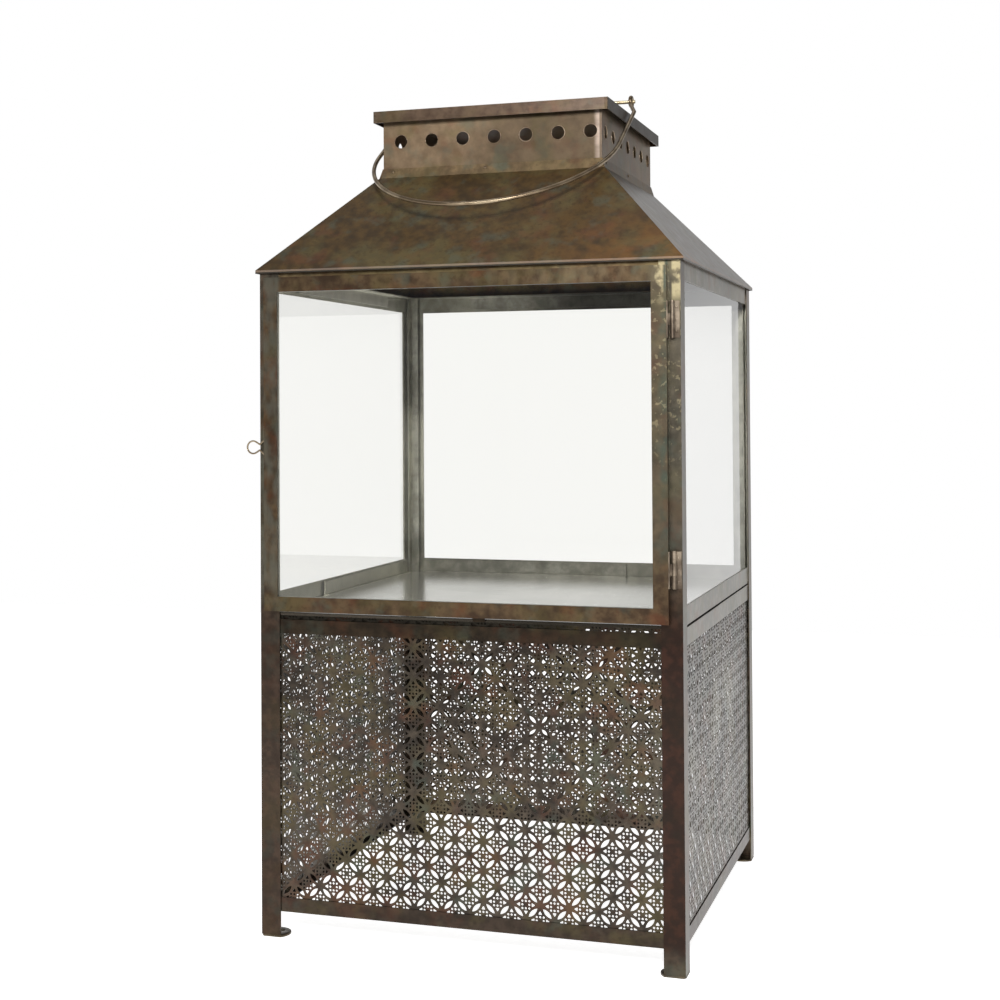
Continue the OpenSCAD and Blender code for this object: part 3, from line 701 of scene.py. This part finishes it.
# %% Glass
GLASS_IOR, GLASS_ROUGHNESS = 1.36, 0.02
DULL_BLEND, DULL_SHARE = 0.01, 0.85


def window_glass(name, tint, dull_from=None):
    """Thin clear glass. Dull_from is the depth past which the pane reflects less."""
    finish = Finish(name)
    through = finish.add("ShaderNodeBsdfTransparent", None, {"Color": tint})
    shine = finish.add("ShaderNodeBsdfGlossy", None, {"Roughness": GLASS_ROUGHNESS})
    fresnel = finish.add("ShaderNodeFresnel", None, {"IOR": GLASS_IOR})
    one_face = Value(finish, fresnel.outputs[0])
    both_faces = one_face * 2 / (one_face + 1)
    # the pane's far face is left out, because both faces are counted at the near one
    far_face = Value(finish, finish.add("ShaderNodeNewGeometry").outputs["Backfacing"])
    share = both_faces * (1 - far_face)
    if dull_from:
        dull = finish.axis(1).band(dull_from, dull_from + DULL_BLEND)
        share = share * (1 - dull * DULL_SHARE)
    both = finish.add("ShaderNodeMixShader", None, (share, through.outputs[0], shine.outputs[0]))
    return finish.finish_with(both.outputs[0])


CLEAR = (1.0, 1.0, 0.992, 1)
pane_glass = window_glass("pane_glass", CLEAR)
right_glass = window_glass("right_glass", CLEAR, dull_from=0.165)
dress(pane_glass, "door_pane", "pane_rear", "pane_left")
dress(right_glass, "pane_right")
print("glass:", pane_glass.name, right_glass.name)

# %% [markdown]
# ## The perforated panels
# Each panel is cut from a large sheet that was punched in one pattern: petals that cross in
# pairs, and between them clusters of eight dots with four small rounded triangles. The pattern
# repeats, so one diamond-shaped tile is modelled: its corners are the crossings, its sides run
# down the middle of four petals, and the dots lie inside. Copies of the tile, merged where they
# meet, make the sheet, which is then trimmed and given its thickness.

# %% Sizes of the pattern, and helpers
PITCH = 16.5 * MM
PETAL_LENGTH, PETAL_WIDTH = 14.2 * MM, 4.8 * MM
DOT_RADIUS, DOT_STEP = 1.35 * MM, 4.0 * MM
TRIANGLE_RADIUS, TRIANGLE_PLACE = 2.9 * MM, 8.1 * MM
CORNER_CUT = 1.1 * MM
STEPS_PER_SIDE = 8


def select_only(*pieces):
    """Selects these pieces and nothing else, and makes the first one active."""
    bpy.ops.object.select_all(action="DESELECT")
    for piece in pieces:
        piece.select_set(True)
    bpy.context.view_layer.objects.active = pieces[0]


def start_edit(piece):
    """Edit mode with the whole piece selected."""
    select_only(piece)
    bpy.ops.object.mode_set(mode="EDIT")
    bpy.ops.mesh.select_mode(type="VERT")
    bpy.ops.mesh.select_all(action="SELECT")


def end_edit():
    bpy.ops.object.mode_set(mode="OBJECT")


def settle(piece):
    """Puts a piece's place and turn into its mesh."""
    select_only(piece)
    bpy.ops.object.transform_apply(location=True, rotation=True, scale=True)
    return piece


def join(pieces):
    """Makes one piece of several, in the first one's place."""
    select_only(*pieces)
    bpy.ops.object.join()
    return settle(pieces[0])


def ring(vertices, radius, x=0.0, z=0.0, spin=0.0):
    """An outline of a regular shape in the panel's plane."""
    bpy.ops.object.select_all(action="DESELECT")
    bpy.ops.mesh.primitive_circle_add(
        vertices=vertices, radius=radius, location=(x, 0, z), rotation=(math.pi / 2, spin, 0)
    )
    return settle(bpy.context.object)


print("the pattern has a crossing every", round(PITCH / MM, 1), "mm")

# %% [markdown]
# The diamond starts as a circle of four points. Its sides are subdivided, and then each side's
# inner points are set on the arc of a petal's edge. The arc's radius follows from the petal's
# length and width, by the rule for a chord and its height.

# %% The diamond's curved sides
def curve_into_petals(outline):
    """Bends the middle of each side of the diamond inwards, along half a petal."""
    half, depth = PETAL_LENGTH / 2, PETAL_WIDTH / 2
    arc_radius = (half**2 + depth**2) / (2 * depth)
    side = PITCH * math.sqrt(2)
    last_step = side / 2 - side / STEPS_PER_SIDE
    for vertex in outline.data.vertices:
        across = Vector((math.copysign(1, vertex.co.x), 0, math.copysign(1, vertex.co.z)))
        across.normalize()
        along = Vector((across.z, 0, -across.x))
        reach = vertex.co.dot(along)
        if abs(reach) > last_step * 1.01 or vertex.co.dot(across) < side / 2 * 0.98:
            continue
        reach *= half / last_step
        sink = math.sqrt(arc_radius**2 - reach**2) - (arc_radius - depth)
        vertex.co = along * reach + across * (side / 2 - sink)


diamond = ring(4, PITCH)
start_edit(diamond)
bpy.ops.mesh.subdivide(number_cuts=STEPS_PER_SIDE - 1)
end_edit()
curve_into_petals(diamond)
print("points round the diamond:", len(diamond.data.vertices))

# %% [markdown]
# The dots are six-sided, and a bevel in two steps rounds the corners of the triangles. Copies
# make thousands of them, so each has only the few points that are needed to look round. Fill
# then closes the surface between the diamond and the holes in it.

# %% Dots, triangles and the filled tile
outlines = [diamond]
for column in (-1, 0, 1):
    for row in (-1, 0, 1):
        if column or row:
            outlines.append(ring(6, DOT_RADIUS, column * DOT_STEP, row * DOT_STEP))
for quarter in range(4):
    angle = quarter * math.pi / 2
    triangle = ring(
        3, TRIANGLE_RADIUS, TRIANGLE_PLACE * math.sin(angle), TRIANGLE_PLACE * math.cos(angle),
        spin=angle,
    )
    start_edit(triangle)
    bpy.ops.mesh.bevel(affect="VERTICES", offset=CORNER_CUT, segments=2)
    end_edit()
    outlines.append(triangle)

start_edit(join(outlines))
bpy.ops.mesh.fill()
end_edit()
print("faces in one tile:", len(diamond.data.polygons))

# %% [markdown]
# The tiles stand like the squares of one colour on a draughtboard. Two tiles make the unit that
# repeats in straight rows, and two Array modifiers repeat it. The points where tiles meet are
# merged, so that the large sheet is one surface. It is a little larger than a panel on all sides.

# %% The large sheet
COLUMNS, ROWS = 16, 12


def apply_all(piece):
    """Applies a piece's modifiers, from the first to the last."""
    select_only(piece)
    for modifier in list(piece.modifiers):
        bpy.ops.object.modifier_apply(modifier=modifier.name)


def repeat(piece, count, x, z):
    """Copies a piece in a row, each copy one step further."""
    array = piece.modifiers.new("repeat", "ARRAY")
    array.use_relative_offset = False
    array.use_constant_offset = True
    array.constant_offset_displace = (x, 0, z)
    array.count = count


repeat(diamond, 2, PITCH, PITCH)
repeat(diamond, COLUMNS, 2 * PITCH, 0)
repeat(diamond, ROWS, 0, 2 * PITCH)
apply_all(diamond)
start_edit(diamond)
bpy.ops.mesh.remove_doubles(threshold=0.01 * MM)
bpy.ops.mesh.normals_make_consistent(inside=False)
end_edit()
print("faces in the large sheet:", len(diamond.data.polygons))

# %% [markdown]
# Four planes trim a copy of the sheet to the panel's outline. Solidify gives it a wall, and then
# it is moved to the depth of the front panel and turned by as many quarters as its side asks for.

# %% The four panels
CROSSING_X, CROSSING_Z = 4.5 * MM, 46.8 * MM
PANEL_THICKNESS = 0.6 * MM


def trim(piece, place, outwards):
    """Cuts off what lies past a plane."""
    start_edit(piece)
    bpy.ops.mesh.bisect(plane_co=place, plane_no=outwards, clear_outer=True)
    end_edit()


def perforated_panel(side):
    """The panel of one side, in the place and outline of the CAD panel that it replaces."""
    node = f"grille_{side}"
    low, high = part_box(node)
    quarter_turns = SIDES.index(side)
    half = max(high.x - low.x, high.y - low.y) / 2
    panel = diamond.copy()
    panel.data = diamond.data.copy()
    panel.name = f"perforated_panel_{side}"
    bpy.context.scene.collection.objects.link(panel)
    # the diamond's middle is a cluster, one pitch to the right of a crossing
    start_x = CROSSING_X + PITCH - COLUMNS * PITCH
    start_z = CROSSING_Z - 2 * PITCH
    panel.data.transform(Matrix.Translation((start_x, 0, start_z)))
    trim(panel, (-half, 0, 0), (-1, 0, 0))
    trim(panel, (half, 0, 0), (1, 0, 0))
    trim(panel, (0, 0, low.z), (0, 0, -1))
    trim(panel, (0, 0, high.z), (0, 0, 1))
    solid = panel.modifiers.new("thickness", "SOLIDIFY")
    solid.thickness = PANEL_THICKNESS
    solid.offset = 0
    apply_all(panel)
    reach = {"front": -low.y, "right": high.x, "rear": high.y, "left": -low.x}[side]
    panel.data.transform(Matrix.Translation((0, PANEL_THICKNESS / 2 - reach, 0)))
    panel.data.transform(Matrix.Rotation(quarter_turns * math.pi / 2, 4, "Z"))
    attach(panel, "lantern")
    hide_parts(node)
    dress(panel_patina, panel.name)
    return panel


for side in SIDES:
    panel = perforated_panel(side)
    print(panel.name, len(panel.data.polygons), "faces")
bpy.data.objects.remove(diamond)

# %% [markdown]
# ## Small fasteners
# The hinge leaves are held by small screws with round heads. A head starts as a short cylinder,
# and a Bevel modifier that is nearly as wide as the head is high rounds its upper edge to a dome.
# A slot would be far too small to see, so the heads are plain.

# %% Hinge screws
HEAD_SIDES, DOME_SHARE = 20, 0.8


def head(name, place, towards, radius, height):
    """A domed head that sits on a surface and looks along towards."""
    bpy.ops.object.select_all(action="DESELECT")
    turn = Vector(towards).to_track_quat("Z", "Y").to_euler()
    centre = Vector(place) + Vector(towards).normalized() * height / 2
    bpy.ops.mesh.primitive_cylinder_add(
        vertices=HEAD_SIDES, radius=radius, depth=height, location=centre, rotation=turn
    )
    piece = bpy.context.object
    piece.name = name
    round_edges(piece, height * DOME_SHARE, segments=3)
    apply_all(piece)
    settle(piece)
    bpy.ops.object.shade_smooth_by_angle(angle=math.radians(50))
    return piece


SCREW_RADIUS, SCREW_HEIGHT = 1.5 * MM, 0.8 * MM
SCREW_INSET, SCREWS_PER_LEAF = 3.2 * MM, 3
LEAF_HEIGHT, LEAF_THICKNESS = 40 * MM, 1.2 * MM
leaf_low, leaf_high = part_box("hinge_post_leaves")
screw_x = leaf_high.x - SCREW_INSET
leaf_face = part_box("post_front_right")[0].y - LEAF_THICKNESS
for hinge, bottom in (("lower", leaf_low.z), ("upper", leaf_high.z - LEAF_HEIGHT)):
    for index in range(SCREWS_PER_LEAF):
        name = f"hinge_screw_{hinge}_{index + 1}"
        screw_z = bottom + LEAF_HEIGHT * (index + 0.5) / SCREWS_PER_LEAF
        place = (screw_x, leaf_face, screw_z)
        screw = head(name, place, (0, -1, 0), SCREW_RADIUS, SCREW_HEIGHT)
        dress(hinge_metal, screw.name)
        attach(screw, "lantern")
print("hinge screws:", 2 * SCREWS_PER_LEAF, "on a leaf that ends at x =", round(leaf_high.x, 4))

# %% [markdown]
# The skirt round the vent box is held by a few flat rivets. They are the same domed heads, only
# wider and lower. They lean back a little, because the skirt flares outwards below them.

# %% Skirt rivets
RIVET_RADIUS, RIVET_HEIGHT = 1.8 * MM, 0.7 * MM
SKIRT_REACH, RIVET_LEVEL = 139.1 * MM, 0.9032
RIVET_PLACES = (-124.0 * MM, -6.4 * MM)
RIVET_LEAN = 0.25
for quarter_turns, side in enumerate(SIDES):
    turn = Matrix.Rotation(quarter_turns * math.pi / 2, 4, "Z")
    for index, across in enumerate(RIVET_PLACES):
        place = turn @ Vector((across, -SKIRT_REACH, RIVET_LEVEL))
        towards = turn @ Vector((0, -1, RIVET_LEAN))
        rivet = head(f"skirt_rivet_{side}_{index + 1}", place, towards, RIVET_RADIUS, RIVET_HEIGHT)
        dress(vent_patina, rivet.name)
        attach(rivet, "lantern")
print("skirt rivets:", len(SIDES) * len(RIVET_PLACES))

# %% [markdown]
# ## Feet
# Each post stands on a small round plate with a hole for a screw, cut off level with the post's
# outer faces. The CAD plate is square at the outside. Here a flat cylinder is drilled by one
# Boolean modifier and cut level by a second one, which keeps only what lies inside a large cube.
# A Bevel softens its edge. The four plates are one piece, as in the CAD model.

# %% Round foot plates
FOOT_RADIUS, FOOT_CENTRE, FOOT_REACH = 17 * MM, 237 * MM, 250.3 * MM
SCREW_HOLE_RADIUS, SCREW_HOLE_PLACE = 2.75 * MM, 232 * MM
FOOT_EDGE = 0.5 * MM
foot_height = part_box("foot_plates")[1].z


def disc(radius, height, x, y, vertices):
    """An upright cylinder whose middle is half a foot's height above the floor."""
    bpy.ops.object.select_all(action="DESELECT")
    bpy.ops.mesh.primitive_cylinder_add(
        vertices=vertices, radius=radius, depth=height, location=(x, y, foot_height / 2)
    )
    return bpy.context.object


def cut_with(piece, tool, operation):
    """Cuts a piece by a tool: DIFFERENCE takes the tool away, INTERSECT keeps what is in it."""
    boolean = piece.modifiers.new(operation.lower(), "BOOLEAN")
    boolean.operation = operation
    boolean.object = tool


def foot_disc(right, back):
    """The drilled plate under one post. Right and back are 1, or -1 for left and front."""
    hole_x, hole_y = right * SCREW_HOLE_PLACE, back * SCREW_HOLE_PLACE
    drill = disc(SCREW_HOLE_RADIUS, 3 * foot_height, hole_x, hole_y, vertices=24)
    foot = disc(FOOT_RADIUS, foot_height, right * FOOT_CENTRE, back * FOOT_CENTRE, vertices=48)
    bpy.ops.mesh.primitive_cube_add(size=2 * FOOT_REACH)
    limit = bpy.context.object
    cut_with(foot, drill, "DIFFERENCE")
    cut_with(foot, limit, "INTERSECT")
    round_edges(foot, FOOT_EDGE, segments=2)
    apply_all(foot)
    bpy.data.objects.remove(drill)
    bpy.data.objects.remove(limit)
    return foot


foot_discs = join([foot_disc(right, back) for right in (-1, 1) for back in (-1, 1)])
foot_discs.name = "foot_discs"
bpy.ops.object.shade_smooth_by_angle(angle=math.radians(35))
dress(foot_patina, foot_discs.name)
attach(foot_discs, "lantern")
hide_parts("foot_plates")
print("faces of the four foot plates:", len(foot_discs.data.polygons))

# %% [markdown]
# ## Rims of the vent holes
# Punching turns the edge of each hole a little outwards, and the raised edge is coloured paler
# than the wall, a painted highlight for the light that it catches. A thin torus, half sunk in the
# wall, gives this rim. One is made for each hole and all are joined, because together they are one
# piece for whoever uses the model.

# %% Hole rims
HOLES, HOLE_RADIUS, RIM_RADIUS = 7, 8.0 * MM, 0.35 * MM
HOLE_MARGIN, HOLE_SHIFT, HOLE_LEVEL = 18.2 * MM, 4.5 * MM, 0.940
wall_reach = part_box("vent_wall_right")[1].x
rims = []
for quarter_turns, side in enumerate(SIDES):
    turn = Matrix.Rotation(quarter_turns * math.pi / 2, 4, "Z")
    shift = HOLE_SHIFT if side in ("front", "rear") else 0
    for index in range(HOLES):
        across = shift + (2 * index / (HOLES - 1) - 1) * (wall_reach - HOLE_MARGIN)
        place = turn @ Vector((across, -wall_reach, HOLE_LEVEL))
        bpy.ops.object.select_all(action="DESELECT")
        bpy.ops.mesh.primitive_torus_add(
            major_radius=HOLE_RADIUS + RIM_RADIUS / 2, minor_radius=RIM_RADIUS,
            major_segments=32, minor_segments=6, location=place,
            rotation=(math.pi / 2, 0, quarter_turns * math.pi / 2),
        )
        rims.append(bpy.context.object)
hole_rims = join(rims)
hole_rims.name = "vent_hole_rims"
bpy.ops.object.shade_smooth()
# a paler metal, a painted highlight on the raised rims
rim_highlight_metal = wire_metal("rim_highlight_metal", linear(120, 102, 84), linear(190, 170, 148), 0.34)
dress(rim_highlight_metal, hole_rims.name)
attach(hole_rims, "lantern")
print("hole rims:", len(rims))

# %% [markdown]
# ## Overlapping sheet
# The right middle rail is pieced together: a second strip is lapped over its front half and ends
# in a slanting cut. A plane is moved into shape, then Solidify gives it a wall and Bevel softens
# the cut. Sizes are in millimetres here, as a maker would mark them on the sheet.

# %% Lapped strip
STRIP_CUTS, STRIP_EDGE_SHARE = 7, 0.4


def thin_strip(name, corners, thickness, material):
    """A thin flat strip with four corners, given in turn."""
    bpy.ops.object.select_all(action="DESELECT")
    bpy.ops.mesh.primitive_plane_add(size=1)
    strip = bpy.context.object
    strip.name = name
    in_turn = [strip.data.vertices[index] for index in (0, 1, 3, 2)]
    for vertex, corner in zip(in_turn, corners):
        vertex.co = Vector(corner) * MM
    start_edit(strip)
    bpy.ops.mesh.subdivide(number_cuts=STRIP_CUTS)
    end_edit()
    solid = strip.modifiers.new("thickness", "SOLIDIFY")
    solid.thickness = thickness * MM
    solid.offset = -1
    round_edges(strip, thickness * MM * STRIP_EDGE_SHARE, segments=1)
    apply_all(strip)
    settle(strip)
    dress(material, strip.name)
    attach(strip, "lantern")
    print(strip.name, "size:", tuple(round(side, 4) for side in strip.dimensions))


LAP_THICKNESS = 0.4
LAP_START, LAP_END_BELOW, LAP_END_ABOVE = -225.5, 10.6, -9.9
rail_low, rail_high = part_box("middle_rail_right")
lap_face = rail_high.x / MM + LAP_THICKNESS
lap_bottom, lap_top = rail_low.z / MM, rail_high.z / MM
lap_corners = (
    (lap_face, LAP_START, lap_bottom), (lap_face, LAP_END_BELOW, lap_bottom),
    (lap_face, LAP_END_ABOVE, lap_top), (lap_face, LAP_START, lap_top),
)
thin_strip("lapped_strip", lap_corners, LAP_THICKNESS, rail_patina)

# %% [markdown]
# Under the door, the front panel has a plain margin along its top that shows in the slit. On the
# right it is narrower, because the pattern reaches higher there. Two thin strips behind the panel
# show this, with a hair's breadth between their ends. They are near black, as painted shade for
# the door's shadow in the slit.

# %% Margin of the front panel
MARGIN_START, MARGIN_STEP, MARGIN_END = -225, 138, 225
MARGIN_LOW, NARROW_MARGIN_LOW, MARGIN_TOP = 365.0, 370.9, 376.4
MARGIN_THICKNESS, MARGIN_SETBACK, MARGIN_PARTING = 0.5, 0.7, 0.2
margin_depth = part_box("grille_front")[1].y / MM + MARGIN_SETBACK


def margin(name, left, right, low):
    """A part of the plain margin, from its lower edge up to the top of the sheet."""
    corners = (
        (left, margin_depth, low), (right, margin_depth, low),
        (right, margin_depth, MARGIN_TOP), (left, margin_depth, MARGIN_TOP),
    )
    thin_strip(name, corners, MARGIN_THICKNESS, slit_shade_patina)


margin("sheet_margin", MARGIN_START, MARGIN_STEP, MARGIN_LOW)
margin("narrow_margin", MARGIN_STEP + MARGIN_PARTING, MARGIN_END, NARROW_MARGIN_LOW)
